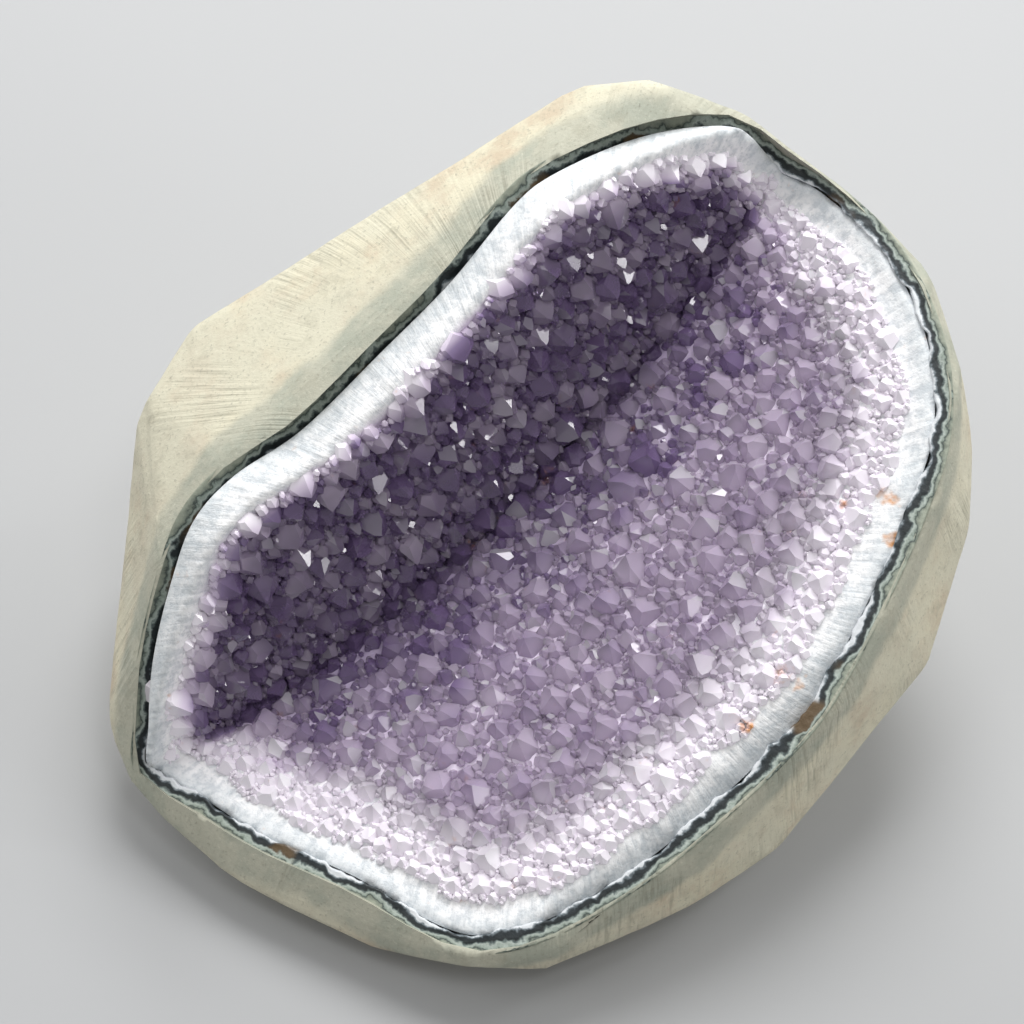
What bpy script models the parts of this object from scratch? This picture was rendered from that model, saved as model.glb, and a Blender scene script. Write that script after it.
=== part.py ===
"""Half of an amethyst geode with its rind ground to facets and its crystal hollow open to the front.

Three things grew or were left on each other and are three solids here:
basalt_rind, the ground outer rock; green_seam, the thin green skin that lines it; and
crystal_crust, the white quartz with its amethyst points, grown together as one body.
Axes: +X to the right, +Y to the back, +Z up. The rind rests on a flat ground foot at Z = 0.
"""

import math
import random

import bmesh
import bpy
from mathutils import Vector
from mathutils.geometry import delaunay_2d_cdt

MM = 0.001

# The rim's two corners, where its steep back side and its gentle front side meet, in millimetres
LOW_CORNER = Vector((-66.6, -38.6, 14.0))
HIGH_CORNER = Vector((48.5, 53.1, 76.0))
# The way the hollow opens: forwards and up
OPENING_WAY = Vector((0.075, -0.622, 0.78))
# Each side of the rim climbs away from the line between the corners by this much
RIM_CLIMB = 0.445

# Where the rind meets the crust at the rim: (along the corner line, across it)
RIM_OUTLINE = (
    (-79.8, 0.0), (-76.5, 12.5), (-72.9, 23.8), (-65.8, 39.0), (-60.6, 54.0), (-55.0, 61.6),
    (-45.3, 66.7), (-31.0, 70.2), (-15.5, 72.0), (8.6, 72.2), (23.1, 69.4), (41.3, 63.5),
    (51.7, 59.4), (61.6, 54.7), (69.5, 48.4), (75.4, 41.0), (79.8, 32.0), (82.3, 22.0),
    (82.2, 10.1), (80.2, 0.0), (78.2, -10.0), (71.2, -17.0), (60.5, -23.4), (46.3, -28.4),
    (37.0, -29.2), (20.0, -27.2), (3.0, -26.8), (-16.0, -26.6), (-30.0, -29.0), (-41.1, -28.2),
    (-52.0, -23.0), (-64.0, -15.4), (-73.3, -7.3),
)
RIM_STEPS = 66
CURVE_STEPS = 12

# Ground corners of the rind, in millimetres. The back and the foot are hidden in the usual view
CROWN_CORNERS = (
    (-65.7, 18.3, 50.6), (-58.3, 30.8, 55.1), (-20.1, 47.4, 73.6), (11.2, 58.8, 88.5),
    (24.1, 55.6, 93.5), (15.1, 28.1, 87.0), (-19.2, 2.8, 69.0), (-5.5, 12.5, 76.2),
    (41.4, 56.6, 84.0),
)
STRIP_CORNERS = (
    (58.6, 47.0, 75.0), (68.8, 39.8, 71.4), (74.2, 32.6, 69.2), (79.0, 14.4, 63.4),
    (78.4, 0.2, 56.6), (69.2, -25.6, 40.0), (55.2, -43.0, 32.4), (34.6, -61.2, 22.0),
    (8.0, -75.2, 15.0), (-8.0, -76.4, 12.8), (-30.0, -64.6, 12.4), (-57.6, -47.6, 12.6),
)
GIRDLE_CORNERS = (
    (-73.4, -29.4, 16.0), (-71.9, -10.1, 30.0), (-68.2, 14.6, 45.0),
    (-68.6, -39.6, 12.5), (-68.0, -36.5, 8.5), (-62.0, -46.8, 10.0),
    (-49.9, -57.6, 8.0), (-24.8, -70.3, 7.0),
    (5.7, -74.5, 7.0), (32.9, -63.1, 10.0), (47.2, -53.8, 13.0), (63.4, -38.1, 21.0),
    (74.1, -25.4, 29.0), (81.7, -5.3, 42.0), (82.3, 6.4, 50.0), (80.6, 16.4, 56.0),
)
BACK_CORNERS = (
    (-64.0, 24.0, 24.0), (-34.0, 50.0, 34.0), (8.0, 63.0, 46.0), (40.0, 61.0, 50.0),
    (66.0, 42.0, 40.0), (76.0, 12.0, 28.0), (-68.0, -8.0, 15.0), (50.0, 61.5, 61.0),
    (62.0, 53.5, 56.5), (30.0, 61.5, 80.0), (40.0, 60.5, 74.0),
)
FOOT_CORNERS = (
    (-52.0, 14.0, 0.0), (-55.0, -18.0, 0.0), (-44.0, -42.0, 0.0), (-14.0, -57.0, 0.0),
    (20.0, -54.0, 0.0), (46.0, -36.0, 0.0), (58.0, -8.0, 0.0), (52.0, 24.0, 0.0),
    (20.0, 42.0, 0.0), (-24.0, 38.0, 0.0),
)
RIM_LIP = 1.1
RIM_CORNER_STEP = 3
FACET_MERGE_DEG = 7.0
FACET_ROUNDING = 1.6
FACET_ROUNDING_STEPS = 2
ROUNDED_EDGE_DEG = 10.0
ROUNDED_EDGE_LENGTH = 9.0
CUTTER_TOP = 60.0

# The trough of the hollow: its deepest line runs close to the line between the corners
VALLEY_ACROSS = 13.0
VALLEY_DEPTH = 10.3
VALLEY_END_HEIGHT = 1.6
VALLEY_CURVE = 0.7
VALLEY_HALF_LENGTH = 84.0
BACK_BAND = 9.0
BACK_BAND_CLIMB = 0.75
BACK_WALL_CURVE = 1.25
FRONT_SLOPE_CURVE = 1.6
CRUST_THICKNESS = 8.5
CORNER_THICKNESS = 4.6
TAPER_CURVE = 0.5

# Layers, counted inwards from the rind, with the air gap that parts one solid from the next
GAP_IN = 0.35
GAP_DOWN = 0.5
SEAM_WIDTH = 1.7
SEAM_DEPTH = 1.8
LAYER_RINGS = (0.1, 0.24, 0.42, 0.62, 0.82)

# Amethyst points: pit to pit distance, apex rise, and how uneven they are
PIT_SPACING = 2.9
APEX_RISE = 3.0
PIT_JITTER = 0.2
RISE_JITTER = 0.42
PIT_SHARE = 0.25
CRYSTALS_FROM_BACK_RIM = 11.5
CRYSTALS_FROM_FRONT_RIM = 12.0
BAND_RINGS = (3.3, 6.6)
GROWTH_SEED = 41

ROCK_COLOUR = (0.52, 0.50, 0.42, 1.0)
SEAM_COLOUR = (0.055, 0.10, 0.085, 1.0)
CRYSTAL_COLOUR = (0.42, 0.33, 0.52, 1.0)
ROCK_ROUGHNESS = 0.8
SEAM_ROUGHNESS = 0.5
CRYSTAL_ROUGHNESS = 0.15

ALONG = (HIGH_CORNER - LOW_CORNER).normalized()
OUT = (OPENING_WAY - OPENING_WAY.dot(ALONG) * ALONG).normalized()
ACROSS = ALONG.cross(OUT)
MIDDLE = (LOW_CORNER + HIGH_CORNER) / 2


def place(along, across, out):
    """A point of the rim's own frame as a point in millimetres of the object's frame."""
    return MIDDLE + along * ALONG + across * ACROSS + out * OUT


def rim_height(across):
    """Both sides of the rim climb away from the corner line."""
    return RIM_CLIMB * abs(across)


def smooth_outline(corners, count):
    """Evenly spaced points on a closed smooth curve through the corners."""
    dense = []
    for i, here in enumerate(corners):
        before, after = corners[i - 1], corners[(i + 1) % len(corners)]
        later = corners[(i + 2) % len(corners)]
        for step in range(CURVE_STEPS):
            t = step / CURVE_STEPS
            dense.append(tuple(
                0.5 * (2 * b + (c - a) * t + (2 * a - 5 * b + 4 * c - d) * t * t
                       + (3 * b - a - 3 * c + d) * t ** 3)
                for a, b, c, d in zip(before, here, after, later)))
    lengths = [math.dist(dense[i], dense[(i + 1) % len(dense)]) for i in range(len(dense))]
    total, points, gone, i = sum(lengths), [], 0.0, 0
    for k in range(count):
        while gone + lengths[i] < total * k / count:
            gone += lengths[i]
            i += 1
        t = (total * k / count - gone) / lengths[i]
        p, q = dense[i], dense[(i + 1) % len(dense)]
        points.append((p[0] + (q[0] - p[0]) * t, p[1] + (q[1] - p[1]) * t))
    return points


def inset(outline, distance):
    """The outline moved inwards, each point along its own normal."""
    moved = []
    for i, (x, y) in enumerate(outline):
        (x0, y0), (x1, y1) = outline[i - 1], outline[(i + 1) % len(outline)]
        dx, dy = x1 - x0, y1 - y0
        size = math.hypot(dx, dy)
        moved.append((x - distance * -dy / size * TURN, y - distance * dx / size * TURN))
    return moved


RIM = smooth_outline(RIM_OUTLINE, RIM_STEPS)
AREA = sum(RIM[i - 1][0] * RIM[i][1] - RIM[i][0] * RIM[i - 1][1] for i in range(RIM_STEPS))
TURN = -1 if AREA > 0 else 1


def rim_limits(along):
    """The two places across the corner line where the rim is, at a place along it."""
    low, high = -1.0, 1.0
    for i in range(RIM_STEPS):
        (a0, p0), (a1, p1) = RIM[i - 1], RIM[i]
        if (a0 - along) * (a1 - along) <= 0 and a0 != a1:
            p = p0 + (p1 - p0) * (along - a0) / (a1 - a0)
            low, high = min(low, p), max(high, p)
    return low, high


def taper(along):
    """1 in the middle of the hollow, falling to 0 at its two corners."""
    return max(0.0, 1 - (along / VALLEY_HALF_LENGTH) ** 2)


def crust_height(along, across):
    """The crust's smooth surface, before its crystals: back band, back wall, valley, front slope."""
    low, high = rim_limits(along)
    valley = VALLEY_ACROSS * taper(along)
    bottom = VALLEY_END_HEIGHT - VALLEY_DEPTH * taper(along) ** VALLEY_CURVE
    if across > valley:
        share = min(1.0, max(0.0, (high - across) / max(high - valley, 1.0)))
        page = rim_height(across)
        return page - (rim_height(valley) - bottom) * share ** FRONT_SLOPE_CURVE
    from_rim = max(0.0, across - low)
    band = BACK_BAND * taper(along) ** TAPER_CURVE
    ridge = rim_height(low) + BACK_BAND_CLIMB * band
    if from_rim <= band:
        return rim_height(low) + BACK_BAND_CLIMB * from_rim
    share = (from_rim - band) / max(valley - low - band, 1.0)
    return bottom + (ridge - bottom) * max(0.0, 1 - share) ** BACK_WALL_CURVE


def solid(name, mesh, colour, roughness):
    """Links a finished bmesh, in millimetres, as one named object with its own material."""
    bmesh.ops.scale(mesh, vec=(MM, MM, MM), verts=mesh.verts)
    bmesh.ops.recalc_face_normals(mesh, faces=mesh.faces)
    bmesh.ops.triangulate(mesh, faces=mesh.faces)
    data = bpy.data.meshes.new(name)
    mesh.to_mesh(data)
    mesh.free()
    piece = bpy.data.objects.new(name, data)
    bpy.context.collection.objects.link(piece)
    material = bpy.data.materials.new(name)
    material.use_nodes = True
    shader = material.node_tree.nodes["Principled BSDF"]
    shader.inputs["Base Color"].default_value = colour
    shader.inputs["Roughness"].default_value = roughness
    shader.inputs["Metallic"].default_value = 0.0
    data.materials.append(material)
    return piece


def floor_height(along, across, level):
    """A layer's floor: the crust's surface lowered by its thickness and raised by the level."""
    thickness = CORNER_THICKNESS + (CRUST_THICKNESS - CORNER_THICKNESS) * taper(along) ** TAPER_CURVE
    return crust_height(along, across) - thickness + level


def trough(mesh, rim_in, level, top=None):
    """Wall and floor of one layer. Returns its rim vertices; top lifts the rim to a fixed height."""
    edge = inset(RIM, rim_in)
    rim = [mesh.verts.new(place(a, p, rim_height(p) if top is None else top)) for a, p in edge]
    loops = [[mesh.verts.new(place(a, p, floor_height(a, p, level))) for a, p in edge]]
    for share in LAYER_RINGS:
        ring = [(a * (1 - share), p + (VALLEY_ACROSS - p) * share) for a, p in RIM]
        loops.append([mesh.verts.new(place(a, p, floor_height(a, p, level))) for a, p in ring])
    last = rim
    for loop in loops:
        for i in range(RIM_STEPS):
            mesh.faces.new((last[i - 1], last[i], loop[i], loop[i - 1]))
        last = loop
    centre = mesh.verts.new(place(0.0, VALLEY_ACROSS, floor_height(0.0, VALLEY_ACROSS, level)))
    for i in range(RIM_STEPS):
        mesh.faces.new((last[i - 1], last[i], centre))
    return rim


def basalt_rind():
    """The rock: a body ground to flat facets, with the hollow of the geode cut out of it."""
    mesh = bmesh.new()
    for corner in CROWN_CORNERS + STRIP_CORNERS + GIRDLE_CORNERS + BACK_CORNERS + FOOT_CORNERS:
        mesh.verts.new(corner)
    for a, p in inset(RIM, -RIM_LIP)[::RIM_CORNER_STEP]:
        mesh.verts.new(place(a, p, rim_height(p)))
    made = bmesh.ops.convex_hull(mesh, input=mesh.verts)
    spare = {v for v in made["geom_interior"] + made["geom_unused"] if isinstance(v, bmesh.types.BMVert)}
    bmesh.ops.delete(mesh, geom=list(spare), context="VERTS")
    bmesh.ops.dissolve_limit(mesh, angle_limit=math.radians(FACET_MERGE_DEG),
                             verts=mesh.verts, edges=mesh.edges)
    edges = [e for e in mesh.edges if e.calc_length() > ROUNDED_EDGE_LENGTH
             and e.calc_face_angle() > math.radians(ROUNDED_EDGE_DEG)]
    bmesh.ops.bevel(mesh, geom=edges, offset=FACET_ROUNDING, offset_type="OFFSET", clamp_overlap=True,
                    segments=FACET_ROUNDING_STEPS, profile=0.5, affect="EDGES", material=-1)
    rind = solid("basalt_rind", mesh, ROCK_COLOUR, ROCK_ROUGHNESS)

    cutter_mesh = bmesh.new()
    rim = trough(cutter_mesh, 0.0, 0.0, top=CUTTER_TOP)
    cutter_mesh.faces.new(rim)
    cutter = solid("hollow_cutter", cutter_mesh, ROCK_COLOUR, ROCK_ROUGHNESS)
    cutter.hide_render = True
    cutter.display_type = "WIRE"
    cut = rind.modifiers.new("hollow", "BOOLEAN")
    cut.operation = "DIFFERENCE"
    cut.solver = "EXACT"
    cut.object = cutter
    return rind


def green_seam():
    """The thin green skin between rock and quartz, seen as a dark line all round the rim."""
    mesh = bmesh.new()
    outer = trough(mesh, GAP_IN, GAP_DOWN)
    inner = trough(mesh, GAP_IN + SEAM_WIDTH, GAP_DOWN + SEAM_DEPTH)
    for i in range(RIM_STEPS):
        mesh.faces.new((outer[i - 1], outer[i], inner[i], inner[i - 1]))
    return solid("green_seam", mesh, SEAM_COLOUR, SEAM_ROUGHNESS)


def rim_distance(along, across):
    """How far a point inside the rim is from it."""
    return min(math.dist((along, across), point) for point in RIM)


def crystal_crust():
    """White quartz at the rim and amethyst points in the hollow: one body, one pyramid a crystal."""
    growth = random.Random(GROWTH_SEED)
    mesh = bmesh.new()
    rim = trough(mesh, 2 * GAP_IN + SEAM_WIDTH, 2 * GAP_DOWN + SEAM_DEPTH)
    edge = inset(RIM, 2 * GAP_IN + SEAM_WIDTH)

    places = [Vector(point) for point in edge]
    heights = [0.0] * len(places)
    for distance in BAND_RINGS:
        for a, p in inset(edge, distance):
            places.append(Vector((a, p)))
            heights.append(0.0)
    rows = int(2 * VALLEY_HALF_LENGTH / PIT_SPACING)
    for row in range(-rows, rows):
        for column in range(-rows, rows):
            a = (column + 0.5 * (row % 2)) * PIT_SPACING
            p = row * PIT_SPACING * math.sqrt(0.75)
            apex = (column - row // 2 - row) % 3 == 0
            shift = [growth.uniform(-PIT_JITTER, PIT_JITTER) * PIT_SPACING for _ in range(2)]
            rise = APEX_RISE * (1 + growth.uniform(-RISE_JITTER, RISE_JITTER))
            low, high = rim_limits(a)
            if abs(a) > VALLEY_HALF_LENGTH or not low < p < high:
                continue
            reach = CRYSTALS_FROM_BACK_RIM if p < VALLEY_ACROSS / 2 else CRYSTALS_FROM_FRONT_RIM
            beyond = rim_distance(a, p) - reach
            if beyond < 0:
                continue
            places.append(Vector((a + shift[0], p + shift[1])))
            if beyond < PIT_SPACING:
                heights.append(0.0)
            else:
                heights.append(rise if apex else -PIT_SHARE * rise)

    ring = [(i, (i + 1) % RIM_STEPS) for i in range(RIM_STEPS)]
    verts, _, faces, origins, _, _ = delaunay_2d_cdt(places, ring, [], 1, 1e-4)
    corners = []
    for point, origin in zip(verts, origins):
        if origin and origin[0] < RIM_STEPS:
            corners.append(rim[origin[0]])
            continue
        rise = heights[origin[0]] if origin else 0.0
        corners.append(mesh.verts.new(place(point.x, point.y, crust_height(point.x, point.y) + rise)))
    for face in faces:
        mesh.faces.new([corners[k] for k in face])
    return solid("crystal_crust", mesh, CRYSTAL_COLOUR, CRYSTAL_ROUGHNESS)


def clear_scene():
    for thing in list(bpy.data.objects):
        bpy.data.objects.remove(thing)


def centre_on_foot(pieces):
    """Moves every mesh so that the object stands at Z = 0 with its box centred on the origin."""
    bpy.context.view_layer.update()
    corners = [v.co for piece in pieces if piece.display_type != "WIRE" for v in piece.data.vertices]
    lows = [min(c[i] for c in corners) for i in range(3)]
    highs = [max(c[i] for c in corners) for i in range(3)]
    shift = Vector((-(lows[0] + highs[0]) / 2, -(lows[1] + highs[1]) / 2, -lows[2]))
    for piece in pieces:
        for vertex in piece.data.vertices:
            vertex.co += shift


clear_scene()
basalt_rind()
green_seam()
crystal_crust()
centre_on_foot(list(bpy.data.objects))
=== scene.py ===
"""The looks of half an amethyst geode: ground rind, green skin at the rim, and the crystal crust."""

import math
import random

import bmesh
import bpy
import numpy as np
from mathutils import Matrix, Vector, noise
from mathutils.geometry import delaunay_2d_cdt


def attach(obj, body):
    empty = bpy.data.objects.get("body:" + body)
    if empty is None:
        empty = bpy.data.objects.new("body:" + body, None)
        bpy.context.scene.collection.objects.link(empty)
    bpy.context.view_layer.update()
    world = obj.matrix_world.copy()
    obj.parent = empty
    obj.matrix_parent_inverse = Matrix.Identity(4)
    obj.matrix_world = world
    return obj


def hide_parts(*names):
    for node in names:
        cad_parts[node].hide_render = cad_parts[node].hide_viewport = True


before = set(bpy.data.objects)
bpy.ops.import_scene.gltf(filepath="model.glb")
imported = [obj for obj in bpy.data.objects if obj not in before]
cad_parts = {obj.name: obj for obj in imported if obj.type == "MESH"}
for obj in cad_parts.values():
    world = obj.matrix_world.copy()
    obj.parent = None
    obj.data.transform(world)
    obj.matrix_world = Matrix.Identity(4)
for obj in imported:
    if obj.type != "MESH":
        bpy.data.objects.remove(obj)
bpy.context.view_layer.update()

# The rind is altered basalt, the rock that the geode grew in. It was ground to flat facets with a
# coarse wheel: cream outside, grey green where it meets the crust, with grooves left by the grit.

MM = 0.001
LOW_CORNER = Vector((-71.2, -32.06, 14.0))
HIGH_CORNER = Vector((43.9, 59.64, 76.0))
OPENING_WAY = Vector((0.075, -0.622, 0.78))
ALONG = (HIGH_CORNER - LOW_CORNER).normalized()
OUT = (OPENING_WAY - OPENING_WAY.dot(ALONG) * ALONG).normalized()
ACROSS = ALONG.cross(OUT)
MIDDLE = (LOW_CORNER + HIGH_CORNER) / 2
RIM_CLIMB = 0.445
RIM_OUTLINE = (
    (-79.8, 0.0), (-76.5, 12.5), (-72.9, 23.8), (-65.8, 39.0), (-60.6, 54.0), (-55.0, 61.6),
    (-45.3, 66.7), (-31.0, 70.2), (-15.5, 72.0), (8.6, 72.2), (23.1, 69.4), (41.3, 63.5),
    (51.7, 59.4), (61.6, 54.7), (69.5, 48.4), (75.4, 41.0), (79.8, 32.0), (82.3, 22.0),
    (82.2, 10.1), (80.2, 0.0), (78.2, -10.0), (71.2, -17.0), (60.5, -23.4), (46.3, -28.4),
    (37.0, -29.2), (20.0, -27.2), (3.0, -26.8), (-16.0, -26.6), (-30.0, -29.0), (-41.1, -28.2),
    (-52.0, -23.0), (-64.0, -15.4), (-73.3, -7.3),
)
CURVE_STEPS = 12
RIM_STEPS = 480


def place(along, across, out):
    """A point of the rim's own frame, in millimetres, as a point of the object in metres."""
    return (MIDDLE + float(along) * ALONG + float(across) * ACROSS + float(out) * OUT) * MM


def rim_height(across):
    """How high the rim stands over the plane of the opening, in millimetres."""
    return RIM_CLIMB * abs(across)


def smooth_outline(corners, count):
    """Evenly spaced points on a closed smooth curve through the corners."""
    dense = []
    for i, here in enumerate(corners):
        before, after = corners[i - 1], corners[(i + 1) % len(corners)]
        later = corners[(i + 2) % len(corners)]
        for step in range(CURVE_STEPS):
            t = step / CURVE_STEPS
            dense.append([0.5 * (2 * b + (c - a) * t + (2 * a - 5 * b + 4 * c - d) * t * t
                                 + (3 * b - a - 3 * c + d) * t ** 3)
                          for a, b, c, d in zip(before, here, after, later)])
    dense = np.array(dense + dense[:1])
    gone = np.concatenate(([0], np.cumsum(np.linalg.norm(np.diff(dense, axis=0), axis=1))))
    at = np.linspace(0, gone[-1], count, endpoint=False)
    return np.stack([np.interp(at, gone, dense[:, k]) for k in (0, 1)], axis=1)


def inset(outline, distance):
    """The outline moved inwards; it runs clockwise."""
    way = np.roll(outline, -1, axis=0) - np.roll(outline, 1, axis=0)
    way /= np.linalg.norm(way, axis=1)[:, None]
    return outline + distance * np.stack([way[:, 1], -way[:, 0]], axis=1)


RIM = smooth_outline(RIM_OUTLINE, RIM_STEPS)
RIM_LINE = np.array([place(a, p, rim_height(p)) for a, p in RIM])


def spread(mesh, longest, rounds=7):
    """Splits long edges until the mesh is fine enough to carry relief."""
    for _ in range(rounds):
        long = [e for e in mesh.edges if e.calc_length() > longest]
        if not long:
            break
        bmesh.ops.subdivide_edges(mesh, edges=long, cuts=1)
        bmesh.ops.triangulate(mesh, faces=[f for f in mesh.faces if len(f.verts) > 3])


def ramp(value, start, length):
    """0 up to start, then rising to 1 over the length."""
    return min(1.0, max(0.0, (value - start) / length))


def number(piece, name, values):
    """A named number on every vertex, for the material to read."""
    layer = piece.data.attributes.new(name, "FLOAT", "POINT")
    layer.data.foreach_set("value", np.asarray(values, np.float32))


def finish_mesh(name, mesh):
    """Turns the worked mesh into an object of that name."""
    data = bpy.data.meshes.new(name)
    mesh.to_mesh(data)
    mesh.free()
    piece = bpy.data.objects.new(name, data)
    bpy.context.collection.objects.link(piece)
    return piece


class Value:
    """A shader socket in Python sums: each operator adds its Math node."""

    def __init__(self, graph, socket):
        self.graph, self.socket = graph, socket

    def math(self, operation, first, second=0.0):
        return self.graph.node("Math", {"operation": operation}, {0: first, 1: second})

    def __add__(self, other):
        return self.math("ADD", self, other)

    __radd__ = __add__

    def __mul__(self, other):
        return self.math("MULTIPLY", self, other)

    __rmul__ = __mul__

    def __sub__(self, other):
        return self.math("SUBTRACT", self, other)

    def __rsub__(self, other):
        return self.math("SUBTRACT", other, self)


class Graph:
    """A new material whose nodes are added in Python."""

    def __init__(self, name):
        self.material = bpy.data.materials.new(name)
        self.material.use_nodes = True
        self.tree = self.material.node_tree
        self.tree.nodes.clear()

    def node(self, kind, settings=None, inputs=None, output=0):
        made = self.tree.nodes.new("ShaderNode" + kind)
        for key, value in (settings or {}).items():
            if key == "stops":
                made.color_ramp.elements[0].position = value[0][0]
                made.color_ramp.elements[0].color = value[0][1]
                made.color_ramp.elements[1].position = value[-1][0]
                made.color_ramp.elements[1].color = value[-1][1]
                for place_at, colour in value[1:-1]:
                    made.color_ramp.elements.new(place_at).color = colour
            else:
                setattr(made, key, value)
        for key, value in (inputs or {}).items():
            if isinstance(value, Value):
                self.tree.links.new(value.socket, made.inputs[key])
            else:
                made.inputs[key].default_value = value
        return Value(self, made.outputs[output])

    def place(self):
        """Where a place is on the object, in metres."""
        return self.node("TexCoord", output="Object")

    def own(self, name, output="Fac"):
        """A value the piece carries on its vertices or faces."""
        return self.node("Attribute", {"attribute_name": name}, output=output)

    def grain(self, at, scale, detail=3.0, roughness=0.5):
        return self.node("TexNoise", inputs={"Vector": at, "Scale": scale, "Detail": detail,
                                             "Roughness": roughness})

    def step(self, value, low, high):
        """0 below low, 1 above high, smooth between."""
        return self.node("MapRange", {"interpolation_type": "SMOOTHSTEP"},
                         {0: value, 1: low, 2: high, 3: 0.0, 4: 1.0})

    def blend(self, share, first, second):
        """The first colour where share is 0, the second where it is 1."""
        return self.node("Mix", {"data_type": "RGBA"}, {0: share, 6: first, 7: second}, output=2)

    def relief(self, height, distance, strength=1.0):
        """Fine relief, as a change of the normal."""
        return self.node("Bump", inputs={"Height": height, "Distance": distance, "Strength": strength})

    def show(self, shader):
        """Puts the shader on the material and returns the material."""
        end = self.tree.nodes.new("ShaderNodeOutputMaterial")
        self.tree.links.new(shader.socket, end.inputs["Surface"])
        return self.material


def colour(red, green, blue):
    """A colour given as it looks on a screen, 0 to 255."""
    def linear(share):
        return share / 12.92 if share <= 0.04045 else ((share + 0.055) / 1.055) ** 2.4
    return tuple(linear(v / 255) for v in (red, green, blue)) + (1.0,)


RIND_GRAIN = 1.7 * MM
RIND_WEAR = 0.35 * MM
RIND_WEAR_LENGTH = 16 * MM
RIND_WEAR_SHARE = 0.6
RIM_KEPT = 2.5 * MM
RIM_FADE = 4 * MM
FOOT_KEPT = 0.6 * MM
SHARP_ANGLE = math.radians(34)
SAME_FACET = math.radians(0.5)
GAP_BATCH = 2000
# The strip of rock beside the high corner is drawn in: where that starts, how softly and how far
NARROW_ALONG, NARROW_ALONG_FADE = 55.0, 14.0
NARROW_BACK, NARROW_BACK_FADE = -17.0, 9.0
NARROW_FRONT, NARROW_FRONT_FADE = 34.0, 12.0
NARROW_DEPTH, NARROW_DEPTH_FADE = 26.0, 12.0
NARROW_LIP, NARROW_LIP_FADE = 0.3, 2.2
NARROW_SHARE, NARROW_DROP = 0.4, 0.6

rind_mesh = bmesh.new()
rind_mesh.from_mesh(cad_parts["basalt_rind"].data)
bmesh.ops.remove_doubles(rind_mesh, verts=rind_mesh.verts, dist=1e-6)
bmesh.ops.dissolve_limit(rind_mesh, angle_limit=SAME_FACET, verts=rind_mesh.verts,
                         edges=rind_mesh.edges)
bmesh.ops.triangulate(rind_mesh, faces=rind_mesh.faces)
spread(rind_mesh, RIND_GRAIN)
rind_mesh.normal_update()


def rim_gap(points):
    """How far each point is from the line of the rim."""
    points = np.asarray(points, float)
    gaps = np.empty(len(points))
    for start in range(0, len(points), GAP_BATCH):
        part = points[start:start + GAP_BATCH]
        gaps[start:start + GAP_BATCH] = np.linalg.norm(part[:, None] - RIM_LINE[None], axis=2).min(1)
    return gaps


gaps = rim_gap([v.co for v in rind_mesh.verts])
for vertex, gap in zip(rind_mesh.verts, gaps):
    if gap < RIM_KEPT or vertex.co.z < FOOT_KEPT:
        continue
    wave = noise.noise(vertex.co / RIND_WEAR_LENGTH) + 0.35 * noise.noise(vertex.co / RIND_WEAR_LENGTH * 4)
    fade = min(1.0, (gap - RIM_KEPT) / RIM_FADE)
    vertex.co -= vertex.normal * RIND_WEAR * fade * (RIND_WEAR_SHARE + wave) * RIND_WEAR_SHARE
for vertex in rind_mesh.verts:
    seat = vertex.co / MM - MIDDLE
    a, p, o = seat.dot(ALONG), seat.dot(ACROSS), seat.dot(OUT)
    share = ramp(a, NARROW_ALONG, NARROW_ALONG_FADE) * ramp(p, NARROW_BACK, NARROW_BACK_FADE)
    share *= ramp(-p, -NARROW_FRONT, NARROW_FRONT_FADE)
    share *= ramp(o - rim_height(p), -NARROW_DEPTH, NARROW_DEPTH_FADE)
    if share <= 0.0:
        continue
    apart = RIM - np.array([a, p])
    nearest = int(np.argmin(np.hypot(apart[:, 0], apart[:, 1])))
    before, after = RIM[nearest - 1], RIM[(nearest + 1) % len(RIM)]
    way = after - before
    outside = (way[0] * -apart[nearest][1] - way[1] * -apart[nearest][0]) / np.hypot(*way)
    if outside > NARROW_LIP:
        share *= ramp(float(outside), NARROW_LIP, NARROW_LIP_FADE)
        move = apart[nearest] * NARROW_SHARE * share
        vertex.co += (float(move[0]) * ALONG + float(move[1]) * ACROSS - NARROW_DROP * share * OUT) * MM

rind = finish_mesh("ground_rind", rind_mesh)
rind.data.polygons.foreach_set("use_smooth", [True] * len(rind.data.polygons))
rind.data.set_sharp_from_angle(angle=SHARP_ANGLE)
number(rind, "seam_gap", rim_gap([v.co for v in rind.data.vertices]) / MM)

look = Graph("ground_basalt")
at = look.place()
gap = look.own("seam_gap")
cloud = look.grain(at, 55.0, 4.0, 0.6)
patch = look.grain(at, 95.0, 5.0, 0.65)
speck = look.grain(at, 1500.0, 3.0, 0.7)
grit = look.grain(at, 420.0, 4.0, 0.7)
zone = look.step(gap + (cloud - 0.5) * 9.0 + (grit - 0.5) * 2.0, 4.6, 7.4)
cream = look.blend(look.step(patch, 0.44, 0.66), colour(214, 208, 184), colour(199, 184, 160))
cream = look.blend(look.step(cloud, 0.35, 0.6) * 0.7, cream, colour(205, 202, 182))
green = look.blend(look.step(patch, 0.4, 0.62), colour(184, 183, 166), colour(166, 169, 154))
stone = look.blend(zone, green, cream)
dirt = look.grain(at, 210.0, 5.0, 0.7)
stone = look.blend(look.step(dirt, 0.5, 0.72) * 0.3, stone, colour(150, 146, 128))
stone = look.blend(look.step(speck, 0.56, 0.7) * 0.45, stone, colour(132, 130, 116))
stone = look.blend(look.step(speck, 0.42, 0.26) * 0.3, stone, colour(232, 228, 210))
round_way = look.node("VectorMath", {"operation": "MULTIPLY"}, {0: at, 1: (1.0, 1.0, 0.0)})
round_way = look.node("VectorMath", {"operation": "NORMALIZE"}, {0: round_way})
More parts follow.
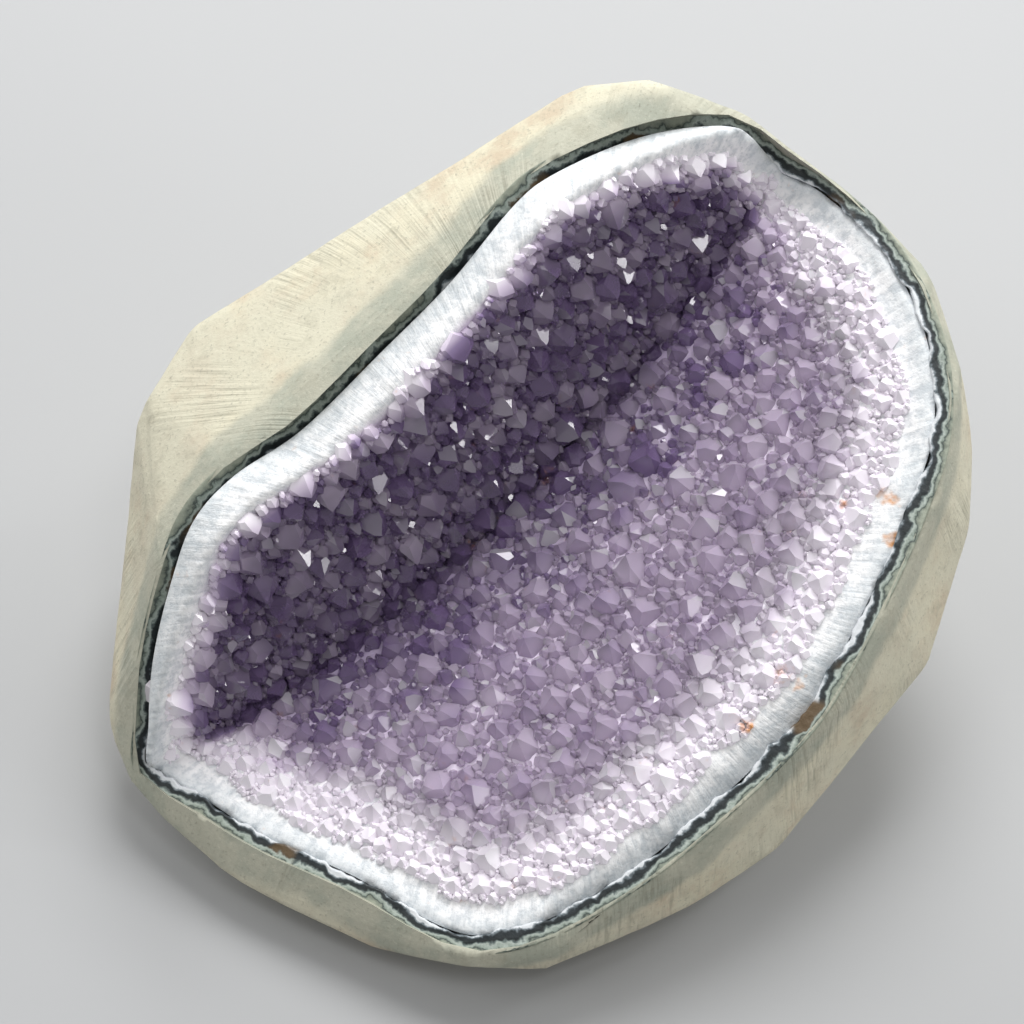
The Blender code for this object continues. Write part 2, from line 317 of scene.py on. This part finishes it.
round_way = look.node("VectorMath", {"operation": "MULTIPLY_ADD"},
                      {0: at, 1: (0.0, 0.0, 0.12), 2: look.node(
                          "VectorMath", {"operation": "SCALE"}, {0: round_way, "Scale": 0.07})})
groove = look.grain(round_way, 950.0, 2.0, 0.6)
worn = look.step(look.grain(at, 38.0, 2.0), 0.42, 0.62)
stone = look.blend(look.step(groove, 0.52, 0.3) * worn * 0.38, stone, colour(120, 118, 102))
skin = look.relief(groove * worn * 1.4 + grit * 0.55 + speck * 0.3, 0.3 * MM, 0.9)
rock = look.node("BsdfPrincipled", inputs={
    "Base Color": stone, "Roughness": look.step(grit, 0.2, 0.9) * 0.25 + 0.58, "Normal": skin,
    "Specular IOR Level": 0.35})
rind.data.materials.append(look.show(rock))
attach(rind, "root")
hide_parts("basalt_rind")

# The green skin is a millimetre or two of celadonite and grey agate that the fluids left on the
# basalt before the quartz grew. It is ground flush with the rim: two dark lines with mint between.

SEAM_IN = -0.6
SEAM_OUT = 2.4
SEAM_BACK_EXTRA = 1.2
SEAM_COLUMNS = 10
SEAM_DEEP = 2.6
SEAM_STEPS = 900
SEAM_BACK_FADE = 15.0
# Unevenness of the skin: for each noise its height in millimetres, its fineness and its layer
SEAM_EDGE_WAVES = ((1.1, 0.16, 0.0), (0.5, 0.6, 5.0))
SEAM_FACE_WAVES = ((0.14, 0.9, 3.0), (0.10, 2.6, 7.0))
SEAM_SUNK, SEAM_RAISED = 0.16, 0.04
SEAM_FOOT_IN = 0.2


def waves(sizes, along, across):
    """A sum of noises, each with a height, a fineness and its own layer of the noise."""
    return sum(rise * noise.noise(Vector((along, across, layer)) * fine) for rise, fine, layer in sizes)


seam_mesh = bmesh.new()
seam_line = smooth_outline(RIM_OUTLINE, SEAM_STEPS)
unit_in = inset(seam_line, 1.0) - seam_line
seam_reach = np.array([SEAM_OUT + SEAM_BACK_EXTRA * ramp(-p, 0.0, SEAM_BACK_FADE)
                       + waves(SEAM_EDGE_WAVES, a, p) for a, p in seam_line])
rows = []
shares = []
for column in range(SEAM_COLUMNS + 1):
    share = column / SEAM_COLUMNS
    row = []
    for a, p in seam_line + unit_in * (SEAM_IN + (seam_reach - SEAM_IN) * share)[:, None]:
        rough = waves(SEAM_FACE_WAVES, a, p)
        sunk = SEAM_SUNK * math.sin(math.pi * share) - SEAM_RAISED
        row.append(seam_mesh.verts.new(place(a, p, rim_height(p) + rough - sunk)))
        shares.append(share)
    rows.append(row)
for share, reach in ((1.0, seam_reach), (0.0, np.full(SEAM_STEPS, SEAM_FOOT_IN))):
    rows.append([seam_mesh.verts.new(place(a, p, rim_height(p) - SEAM_DEEP))
                 for a, p in seam_line + unit_in * reach[:, None]])
    shares.extend([share] * SEAM_STEPS)
for first, second in zip(rows, rows[1:] + rows[:1]):
    for i in range(SEAM_STEPS):
        seam_mesh.faces.new((first[i - 1], first[i], second[i], second[i - 1]))
bmesh.ops.recalc_face_normals(seam_mesh, faces=seam_mesh.faces)
seam = finish_mesh("green_skin", seam_mesh)
seam.data.polygons.foreach_set("use_smooth", [True] * len(seam.data.polygons))
number(seam, "share", shares)

look = Graph("celadonite_skin")
at = look.place()
share = look.own("share") + (look.grain(at, 110.0, 3.0, 0.6) - 0.5) * 1.5
share = share + (look.grain(at, 520.0, 3.0, 0.65) - 0.5) * 0.6
bands = look.node("ValToRGB", {"stops": (
    (0.0, colour(158, 164, 148)), (0.16, colour(126, 134, 122)), (0.23, colour(62, 72, 68)),
    (0.3, colour(140, 152, 142)), (0.42, colour(176, 186, 178)), (0.5, colour(96, 108, 106)),
    (0.58, colour(28, 35, 36)), (0.82, colour(40, 48, 52)), (0.92, colour(130, 140, 146)),
    (1.0, colour(222, 226, 229)))}, {0: share})
rust = look.step(look.grain(at, 75.0, 2.0), 0.62, 0.68) * look.step(share, 0.35, 0.55)
bands = look.blend(rust, bands, colour(96, 78, 54))
skin = look.relief(look.grain(at, 900.0, 3.0), 0.2 * MM)
seam.data.materials.append(look.show(look.node("BsdfPrincipled", inputs={
    "Base Color": bands, "Roughness": 0.5, "Normal": skin})))
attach(seam, "root")
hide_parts("green_seam")

# The crust is one growth of quartz: white combs at the rim, ground and polished with the rind, and
# amethyst points in the hollow, each a six-sided prism ending in three large and three small faces.

VALLEY_ACROSS = 13.0
VALLEY_DEPTH = 10.3
VALLEY_END_HEIGHT = 1.6
VALLEY_CURVE = 0.7
VALLEY_HALF_LENGTH = 84.0
BACK_BAND = 9.0
BACK_BAND_CLIMB = 0.75
BACK_WALL_CURVE = 1.25
FRONT_SLOPE_CURVE = 1.6
CRUST_EDGE = 2.25
CRUST_DEEP = 2.6
CRUST_GRID = 1.25
CRUST_GRID_ROW = 0.87
CRUST_GRID_JITTER = 0.2
CRUST_GRID_START = (-84, -32)
CRUST_GRID_SIZE = (170, 110)
CRUST_EDGE_STEPS = 420
CRUST_EDGE_CLEAR = 0.5
TAPER_CURVE = 0.5
LIMIT_STEPS = 700
DISTANCE_BATCH = 4000
GROWTH_SEED = 17
# Iron stains: where they are along and across, their reach in millimetres and how strong they are
RUST_PLACES = (
    (49.0, 53.6, 2.6, 1.0), (44.5, 59.4, 2.2, 0.9), (33.0, 46.0, 2.5, 0.5), (14.2, 62.6, 3.2, 0.5),
    (4.0, 65.2, 2.4, 1.0), (43.0, 49.2, 3.0, 0.35), (-8.6, 13.4, 2.6, 0.5), (9.4, 13.2, 2.2, 0.5),
)


def rim_limits():
    """Where the rim is on both sides of the corner line, read off once for every place along it."""
    grid = np.linspace(-VALLEY_HALF_LENGTH, VALLEY_HALF_LENGTH, LIMIT_STEPS)
    low, high = np.full(LIMIT_STEPS, -0.5), np.full(LIMIT_STEPS, 0.5)
    line = np.vstack([RIM, RIM[:1]])
    for (a0, p0), (a1, p1) in zip(line[:-1], line[1:]):
        if a0 == a1:
            continue
        inside = (grid - a0) * (grid - a1) <= 0
        at_p = p0 + (p1 - p0) * (grid - a0) / (a1 - a0)
        low = np.where(inside, np.minimum(low, at_p), low)
        high = np.where(inside, np.maximum(high, at_p), high)
    return grid, low, high


LIMIT_AT, LIMIT_LOW, LIMIT_HIGH = rim_limits()


def taper(along):
    """1 in the middle of the stone, falling to 0 at its two ends."""
    return np.clip(1 - (along / VALLEY_HALF_LENGTH) ** 2, 0.0, 1.0)


def crust_height(along, across):
    """The crust's smooth surface: back band, back wall, valley and front slope."""
    along, across = np.asarray(along, float), np.asarray(across, float)
    low = np.interp(along, LIMIT_AT, LIMIT_LOW)
    high = np.interp(along, LIMIT_AT, LIMIT_HIGH)
    valley = VALLEY_ACROSS * taper(along)
    bottom = VALLEY_END_HEIGHT - VALLEY_DEPTH * taper(along) ** VALLEY_CURVE
    share = np.clip((high - across) / np.maximum(high - valley, 1.0), 0, 1)
    front = RIM_CLIMB * np.abs(across) - (RIM_CLIMB * valley - bottom) * share ** FRONT_SLOPE_CURVE
    from_rim = np.maximum(0.0, across - low)
    band = BACK_BAND * taper(along) ** TAPER_CURVE
    ridge = RIM_CLIMB * -low + BACK_BAND_CLIMB * band
    share = np.clip((from_rim - band) / np.maximum(valley - low - band, 1.0), 0, 1)
    back = np.where(from_rim <= band, RIM_CLIMB * -low + BACK_BAND_CLIMB * from_rim,
                    bottom + (ridge - bottom) * (1 - share) ** BACK_WALL_CURVE)
    return np.where(across > valley, front, back)


def rim_distance(along, across):
    """How far each place is from the rim, in millimetres, seen along the opening."""
    points = np.stack([along, across], axis=-1).reshape(-1, 2)
    far = np.empty(len(points))
    for start in range(0, len(points), DISTANCE_BATCH):
        part = points[start:start + DISTANCE_BATCH]
        far[start:start + DISTANCE_BATCH] = np.linalg.norm(part[:, None] - RIM[None], axis=2).min(1)
    return far


def inside_rim(along, across):
    """True inside the outline, by counting crossings."""
    within = np.zeros(len(along), bool)
    line = np.vstack([RIM, RIM[:1]])
    for (a0, p0), (a1, p1) in zip(line[:-1], line[1:]):
        crosses = (p0 > across) != (p1 > across)
        at_a = a0 + (across - p0) * (a1 - a0) / (p1 - p0 if p1 != p0 else 1e-9)
        within ^= crosses & (along < at_a)
    return within


growth = random.Random(GROWTH_SEED)
POINT_KINDS = 28
POINT_PRISM = 3.8
POINT_RAISED = 0.6
FACE_LEAN = math.radians(51.8)
TIP_SPREAD = (0.85, 1.15)
SMALL_FACE_REACH = (1.04, 1.42)
FACE_REACH_SPREAD = (0.93, 1.07)


def crystal_shape():
    """One quartz point of radius 1 with its tip up: a prism cut by six faces, three of them larger."""
    shape = bmesh.new()
    bmesh.ops.create_cone(shape, cap_ends=True, segments=6, radius1=1.0, radius2=1.0,
                          depth=POINT_PRISM)
    bmesh.ops.translate(shape, verts=shape.verts, vec=(0, 0, POINT_RAISED))
    rise = growth.uniform(*TIP_SPREAD)
    for side in range(6):
        turn = math.radians(60 * side + 30)
        large = side % 2 == 0
        reach = rise * (1.0 if large else growth.uniform(*SMALL_FACE_REACH))
        reach *= growth.uniform(*FACE_REACH_SPREAD)
        facing = Vector((math.cos(turn) * math.sin(FACE_LEAN), math.sin(turn) * math.sin(FACE_LEAN),
                         math.cos(FACE_LEAN)))
        cut = bmesh.ops.bisect_plane(shape, geom=shape.verts[:] + shape.edges[:] + shape.faces[:],
                                     plane_co=facing * reach * math.cos(FACE_LEAN), plane_no=facing,
                                     clear_outer=True)
        edges = [e for e in cut["geom_cut"] if isinstance(e, bmesh.types.BMEdge)]
        if edges:
            bmesh.ops.edgeloop_fill(shape, edges=edges)
    bmesh.ops.remove_doubles(shape, verts=shape.verts, dist=1e-4)
    bmesh.ops.recalc_face_normals(shape, faces=shape.faces)
    data = bpy.data.meshes.new("point")
    shape.to_mesh(data)
    shape.free()
    return data


POINT_SHAPES = [crystal_shape() for _ in range(POINT_KINDS)]
# Crystals from large to small: places tried, least and most radius, and how close they may stand
SIZE_PASSES = (
    (9000, 2.6, 3.9, 0.78),
    (16000, 1.75, 2.8, 0.68),
    (26000, 0.95, 1.75, 0.60),
    (26000, 0.55, 0.95, 0.62),
)
BACK_POINTS_FROM = 8.8
FRONT_POINTS_FROM = 6.8
BACK_POINTS_CLEAR = 0.8
POINTS_ALONG, POINTS_ACROSS = (-80, 80), (-28, 70)
SIZE_CURVE = 1.6
RAGGED_FINE, RAGGED_REACH = 0.12, 2.4
POINT_CLEAR = 0.35
EDGE_FADE, EDGE_SIZE = 16.0, 0.72
END_SIZE = 0.55
BACK_SQUASH, FRONT_SQUASH = 0.8, 0.86

spots = np.zeros((0, 3))
for tries, least, most, apart in SIZE_PASSES:
    along = np.array([growth.uniform(*POINTS_ALONG) for _ in range(tries)])
    across = np.array([growth.uniform(*POINTS_ACROSS) for _ in range(tries)])
    radius = np.array([least + (most - least) * growth.random() ** SIZE_CURVE for _ in range(tries)])
    far = rim_distance(along, across)
    valley = VALLEY_ACROSS * taper(along)
    ragged = np.array([noise.noise(Vector((a, p, 0.0)) * RAGGED_FINE) for a, p in zip(along, across)])
    back_limit = BACK_POINTS_FROM * taper(along) ** TAPER_CURVE + BACK_POINTS_CLEAR
    limit = np.where(across < valley, back_limit, FRONT_POINTS_FROM) + RAGGED_REACH * ragged
    keep = inside_rim(along, across) & (far > limit + POINT_CLEAR * radius)
    edge_share = np.clip((far - limit) / EDGE_FADE, 0, 1)
    radius = radius * np.where(across < valley, 1.0, EDGE_SIZE + (1 - EDGE_SIZE) * edge_share)
    radius = radius * (END_SIZE + (1 - END_SIZE) * taper(along) ** TAPER_CURVE)
    slope = np.where(across < valley, BACK_SQUASH, FRONT_SQUASH)
    planted = np.vstack([spots, np.zeros((tries, 3))])
    count = len(spots)
    for a, p, r, squash in zip(along[keep], across[keep], radius[keep], slope[keep]):
        taken = planted[:count]
        away = np.hypot(taken[:, 0] - a, (taken[:, 1] - p) / squash)
        if (away < apart * (taken[:, 2] + r)).any():
            continue
        planted[count] = a, p, r
        count += 1
    spots = planted[:count]


SLOPE_REACH = 1.2


def surface_up(along, across):
    """The crust's outward direction at a place."""
    h = [float(crust_height(along + i * SLOPE_REACH, across + j * SLOPE_REACH))
         for i, j in ((1, 0), (-1, 0), (0, 1), (0, -1))]
    slope_a, slope_p = (h[0] - h[1]) / (2 * SLOPE_REACH), (h[2] - h[3]) / (2 * SLOPE_REACH)
    return (OUT - slope_a * ALONG - slope_p * ACROSS).normalized()


crust_mesh = bmesh.new()
# Unevenness of the crust in millimetres: sugar all over, lumps on the front slope, and on the back
# band a fine grain, a fall from its middle, dips and a wandering step at its foot
SUGAR_WAVES = ((0.22, 0.8, 0.0), (0.10, 2.1, 0.0))
SUGAR_LEAST = 0.3
LUMP_HEIGHT, LUMP_FINE, LUMP_FROM, LUMP_FADE, LUMP_SUNK = 1.1, 0.30, 2.4, 4.0, 0.9
EDGE_DROP, EDGE_WIDTH = 0.7, 1.6
BAND_SUGAR, BAND_GRAIN, BAND_GRAIN_FINE = 1.2, 0.3, 3.4
BAND_FALL, BAND_LEVEL_TO = 0.12, 5.5
DIP_DEPTH, DIP_FINE, DIP_LAYER = 1.3, 0.33, Vector((9, 0, 0))
BAND_STEP, BAND_STEP_FADE, BAND_WANDER, BAND_WANDER_FINE = 1.0, 3.0, 1.5, 0.16

edge = inset(smooth_outline(RIM_OUTLINE, CRUST_EDGE_STEPS), CRUST_EDGE)
count_a, count_p = (int(size / CRUST_GRID) for size in CRUST_GRID_SIZE)
start_a, start_p = CRUST_GRID_START
grid = np.array([(start_a + (i + 0.5 * (j % 2)) * CRUST_GRID, start_p + j * CRUST_GRID * CRUST_GRID_ROW)
                 for j in range(count_p) for i in range(count_a)])
grid += np.array([[growth.uniform(-CRUST_GRID_JITTER, CRUST_GRID_JITTER) * CRUST_GRID for _ in range(2)]
                  for _ in range(len(grid))])
clear = rim_distance(grid[:, 0], grid[:, 1]) > CRUST_EDGE + CRUST_EDGE_CLEAR
grid = grid[inside_rim(grid[:, 0], grid[:, 1]) & clear]
places = [Vector(p) for p in edge] + [Vector(p) for p in grid]
ring = [(i, (i + 1) % len(edge)) for i in range(len(edge))]
flat, _, faces, _, _, _ = delaunay_2d_cdt(places, ring, [], 1, 1e-4)
flat = np.array([tuple(v) for v in flat])
height = crust_height(flat[:, 0], flat[:, 1])
far = rim_distance(flat[:, 0], flat[:, 1])
front_side = flat[:, 1] > VALLEY_ACROSS * taper(flat[:, 0])
for i, (a, p) in enumerate(flat):
    seat = Vector((a, p, 0.0))
    sugar = waves(SUGAR_WAVES, a, p)
    if front_side[i]:
        # a rounded ground edge, then lumps that start a little way in from it
        lump = max(0.0, noise.noise(seat * LUMP_FINE)) * LUMP_HEIGHT
        start = ramp(far[i], LUMP_FROM, LUMP_FADE)
        height[i] += sugar * (SUGAR_LEAST + start) + lump * start - LUMP_SUNK * start
        height[i] -= EDGE_DROP * max(0.0, 1 - (far[i] - CRUST_EDGE) / EDGE_WIDTH) ** 2
    else:
        # a ground band, then a worn ridge with dips, below which the points stand
        dip = max(0.0, noise.noise(seat * DIP_FINE + DIP_LAYER))
        height[i] += sugar * BAND_SUGAR + BAND_GRAIN * noise.noise(seat * BAND_GRAIN_FINE)
        height[i] -= BAND_FALL * max(0.0, min(far[i], BACK_BAND) - BAND_LEVEL_TO) ** 2
        height[i] -= DIP_DEPTH * dip * min(1.0, far[i] / BACK_BAND) ** 2
        wander = BAND_WANDER * noise.noise(seat * BAND_WANDER_FINE)
        height[i] -= BAND_STEP * ramp(far[i] - BACK_BAND + wander, 0.0, BAND_STEP_FADE)
top = [crust_mesh.verts.new(place(a, p, h)) for (a, p), h in zip(flat, height)]
for face in faces:
    crust_mesh.faces.new([top[k] for k in face])
under = bmesh.ops.extrude_face_region(crust_mesh, geom=crust_mesh.faces[:], use_keep_orig=True)["geom"]
under = [v for v in under if isinstance(v, bmesh.types.BMVert)]
bmesh.ops.translate(crust_mesh, verts=under, vec=-OUT * CRUST_DEEP * MM)
bmesh.ops.recalc_face_normals(crust_mesh, faces=crust_mesh.faces)
for face in crust_mesh.faces:
    face.smooth = True

TILT_SPREAD = 15  # degrees
STRETCH = (0.85, 1.25)
POINT_SUNK = 0.25
TIP_START, TIP_RISE = 0.25, 0.8
base_count = len(crust_mesh.verts)
point_of_vertex = [(-1, 0.0)] * base_count
for spot, (a, p, r) in enumerate(spots):
    data = POINT_SHAPES[growth.randrange(len(POINT_SHAPES))]
    up = surface_up(a, p)
    angle = abs(growth.gauss(0, TILT_SPREAD)) * math.pi / 180
    axis = Vector((growth.uniform(-1, 1), growth.uniform(-1, 1), growth.uniform(-1, 1))).normalized()
    spin = Matrix.Rotation(growth.uniform(0, math.tau), 3, "Z")
    turned = Matrix.Rotation(angle, 3, axis) @ up.to_track_quat("Z", "Y").to_matrix() @ spin
    stretch = growth.uniform(*STRETCH)
    size = Matrix.Diagonal((r * MM, r * MM, r * stretch * MM)).to_4x4()
    seat = Matrix.Translation(place(a, p, float(crust_height(a, p)) - POINT_SUNK * r))
    grown = data.copy()
    grown.transform(seat @ turned.to_4x4() @ size)
    crust_mesh.from_mesh(grown)
    bpy.data.meshes.remove(grown)
    point_of_vertex.extend((spot, min(1.0, max(0.0, v.co.z * TIP_RISE + TIP_START))) for v in data.vertices)
crust = finish_mesh("amethyst_crust", crust_mesh)

NO_POINT_SHADE = 0.5
FRONT_LENGTH = 50.0
RUST_CURVE = 0.7
COMB_CENTRE, COMB_RADIUS, COMB_SLOW = 20, 60, 0.16


def vector(piece, name, values):
    """A named vector on every vertex, for the material to read."""
    layer = piece.data.attributes.new(name, "FLOAT_VECTOR", "POINT")
    layer.data.foreach_set("vector", np.asarray(values, np.float32).ravel())


corners = np.empty(len(crust.data.vertices) * 3)
crust.data.vertices.foreach_get("co", corners)
corners = corners.reshape(-1, 3) / MM - np.array(MIDDLE)
at_along, at_across = corners @ np.array(ALONG), corners @ np.array(ACROSS)
far = rim_distance(at_along, at_across)
spot_values = np.array([growth.random() for _ in spots] + [NO_POINT_SHADE])
spot_index = np.array([s for s, _ in point_of_vertex])
number(crust, "from_rim", far)
number(crust, "front", np.clip((at_across - VALLEY_ACROSS * taper(at_along)) / FRONT_LENGTH, -1, 1))
number(crust, "own_shade", spot_values[spot_index])
number(crust, "tip", [t for _, t in point_of_vertex])
rust = np.zeros(len(at_along))
for a, p, reach, weight in RUST_PLACES:
    near = np.clip(1 - np.hypot(at_along - a, at_across - p) / reach, 0, 1)
    rust = np.maximum(rust, weight * near ** RUST_CURVE)
number(crust, "rust", rust)
# the combs run inwards from the rim, so their noise changes slowly that way and fast round the rim
round_rim = np.arctan2(at_across - COMB_CENTRE, at_along)
vector(crust, "comb", np.stack([np.cos(round_rim) * COMB_RADIUS, np.sin(round_rim) * COMB_RADIUS,
                                far * COMB_SLOW], axis=1) * MM)

# Painted highlights: about a tenth of the larger crystal faces are marked to be painted near white,
# standing in for glints of the lights.
PAINTED_GLINT_SHARE = 0.10
PAINTED_GLINT_AREA = 1.2 * MM * MM
COMB_RELIEF = 0.35 * MM
QUARTZ_IOR = 1.544
CLOUDY_ROUGHNESS, CLEAR_ROUGHNESS = 0.16, 0.05
CLEAR_TRANSMISSION = 0.6

face_of_point = [p.vertices[0] >= base_count for p in crust.data.polygons]
frosted = crust.data.attributes.new("frosted", "FLOAT", "FACE")
frosted.data.foreach_set("value", [
    float(on_point and p.area > PAINTED_GLINT_AREA and growth.random() < PAINTED_GLINT_SHARE)
    for p, on_point in zip(crust.data.polygons, face_of_point)])


def crust_body(look, cloud, milky):
    """The crust's colour: milky at the rim, then lilac, mauve and purple into the hollow, with rust. The
    front slope is paler than the back wall, partly the amethyst's own zoning and partly painted light and
    shade.
    """
    far, front, shade = look.own("from_rim"), look.own("front"), look.own("own_shade")
    on_front = look.step(front, -0.02, 0.04)
    wander = (cloud - 0.5) * 9.0 + (shade - 0.5) * 3.0
    back_violet = look.step(far + wander * 0.6, 7.2, 14.5)
    # Painted light and shade: on the front slope the violet comes in more slowly from the rim and is
    # weakest far from the valley, while the back wall keeps its full purple. This is partly the amethyst's
    # own zoning, partly painted light on the lit front slope and painted shade on the back wall.
    front_violet = look.step(far + wander, 8.0, 26.0)
    front_zoning_and_painted_light = look.step(front + (cloud - 0.5) * 0.35, 0.45, -0.05)
    violet = back_violet + (front_violet * (0.36 + front_zoning_and_painted_light * 0.64) - back_violet) * on_front
    strength = violet * (0.66 + shade * 0.5) * (0.7 + look.own("tip") * 0.3)
    lilac = look.blend(cloud, colour(238, 226, 242), colour(218, 202, 228))
    mauve = look.blend(look.step(shade, 0.2, 0.9), colour(212, 197, 221), colour(158, 138, 180))
    purple = look.blend(shade, colour(96, 74, 122), colour(146, 124, 168))
    body = look.blend(look.step(strength, 0.0, 0.28), milky, lilac)
    body = look.blend(look.step(strength, 0.22, 0.6), body, mauve)
    body = look.blend(look.step(strength, 0.5, 0.98), body, purple)
    rust = look.step(look.own("rust") * 0.55 + look.grain(look.place(), 300.0, 2.0, 0.7), 0.66, 1.0)
    return look.blend(rust, body, colour(222, 150, 74)), far, on_front


look = Graph("white_quartz")
at = look.place()
comb = look.grain(look.own("comb", "Vector"), 900.0, 3.0, 0.6)
sugar = look.grain(at, 1300.0, 3.0, 0.7)
mottle = comb * 0.4 + look.grain(at, 480.0, 3.0, 0.65) * 0.35 + sugar * 0.25
milky = look.blend(look.step(mottle, 0.4, 0.56), colour(217, 220, 223), colour(254, 254, 254))
agate = look.step(look.own("from_rim") + (look.grain(at, 240.0, 3.0, 0.65) - 0.5) * 9.0, 7.0, 3.0)
milky = look.blend(agate * 0.4, milky, colour(182, 194, 200))
body, _, _ = crust_body(look, look.grain(at, 70.0, 3.0, 0.6), milky)
crust.data.materials.append(look.show(look.node("BsdfPrincipled", inputs={
    "Base Color": body, "Roughness": look.step(sugar, 0.3, 0.7) * 0.3 + 0.22, "IOR": QUARTZ_IOR,
    "Normal": look.relief(comb * 0.8 + sugar * 0.5, COMB_RELIEF, 0.8)})))

look = Graph("amethyst_point")
cloud = look.grain(look.place(), 70.0, 2.0, 0.6)
body, far, on_front = crust_body(look, cloud, colour(243, 237, 245))
# Painted highlight: the marked faces are mixed towards white, more strongly on the front slope.
body = look.blend(look.own("frosted") * (on_front * 0.45 + 0.35), body, colour(246, 244, 248))
cloudy = look.node("BsdfPrincipled", inputs={
    "Base Color": body, "Roughness": CLOUDY_ROUGHNESS, "IOR": QUARTZ_IOR})
clear = look.node("BsdfPrincipled", inputs={
    "Base Color": body, "Roughness": CLEAR_ROUGHNESS, "IOR": QUARTZ_IOR,
    "Transmission Weight": CLEAR_TRANSMISSION, "Specular IOR Level": 0.8})
clearness = look.step(far + (cloud - 0.5) * 6.0 - on_front * 5.0, 7.0, 14.0) * 0.95
crust.data.materials.append(look.show(look.node("MixShader", inputs={0: clearness, 1: cloudy, 2: clear})))
crust.data.polygons.foreach_set("material_index", np.array(face_of_point, np.int32))
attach(crust, "root")
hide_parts("crystal_crust")

# The studio: a plain pale floor, one large soft light above and behind, a weak even fill, and
# smaller lights all round that make single crystal faces shine.

FLOOR_HALF = 1.6
LIGHT_AIM = Vector((0, 0, 0.04))
WORLD_STRENGTH = 0.36
floor_mesh = bmesh.new()
bmesh.ops.create_grid(floor_mesh, x_segments=1, y_segments=1, size=FLOOR_HALF)
floor = finish_mesh("studio_floor", floor_mesh)
look = Graph("pale_floor")
floor.data.materials.append(look.show(look.node("BsdfPrincipled", inputs={
    "Base Color": colour(172, 173, 174), "Roughness": 0.7})))


def soft_light(name, where, size, power):
    """A round area light aimed at the stone."""
    data = bpy.data.lights.new(name, "AREA")
    data.shape = "DISK"
    data.size = size
    data.energy = power
    lamp = bpy.data.objects.new(name, data)
    bpy.context.collection.objects.link(lamp)
    lamp.location = where
    lamp.rotation_euler = (LIGHT_AIM - Vector(where)).to_track_quat("-Z", "Y").to_euler()


soft_light("window", (0.10, 0.55, 0.85), 0.55, 8.0)
soft_light("ceiling", (-0.5, -0.1, 0.9), 0.5, 1.2)

for index, (x, y, z, size, power) in enumerate((
        (-0.1, 1.0, 0.40, 0.50, 2.6), (0.85, 0.60, 0.42, 0.50, 2.6), (-0.85, 0.55, 0.38, 0.50, 2.2),
        (0.25, -0.35, 1.10, 0.24, 1.2), (0.75, -0.35, 0.45, 0.30, 0.8), (0.75, 0.25, 0.80, 0.20, 1.0))):
    soft_light(f"sparkle_{index}", (x, y, z), size, power)

world = bpy.data.worlds.new("studio")
world.use_nodes = True
world.node_tree.nodes["Background"].inputs["Color"].default_value = (1.0, 1.0, 1.0, 1.0)
world.node_tree.nodes["Background"].inputs["Strength"].default_value = WORLD_STRENGTH
bpy.context.scene.world = world
bpy.context.scene.view_settings.view_transform = "Standard"

CAMERA_ELEVATION = math.radians(55)
CAMERA_DISTANCE = 0.51
CAMERA_AIM = Vector((-0.0046, 0.00654, 0.040))
camera_data = bpy.data.cameras.new("camera")
camera_data.lens = 100
camera_data.sensor_width = 36
camera = bpy.data.objects.new("camera", camera_data)
bpy.context.collection.objects.link(camera)
camera_way = Vector((0, -math.cos(CAMERA_ELEVATION), math.sin(CAMERA_ELEVATION)))
camera.location = CAMERA_AIM + CAMERA_DISTANCE * camera_way
camera.rotation_euler = (math.pi / 2 - CAMERA_ELEVATION, 0, 0)
bpy.context.scene.camera = camera
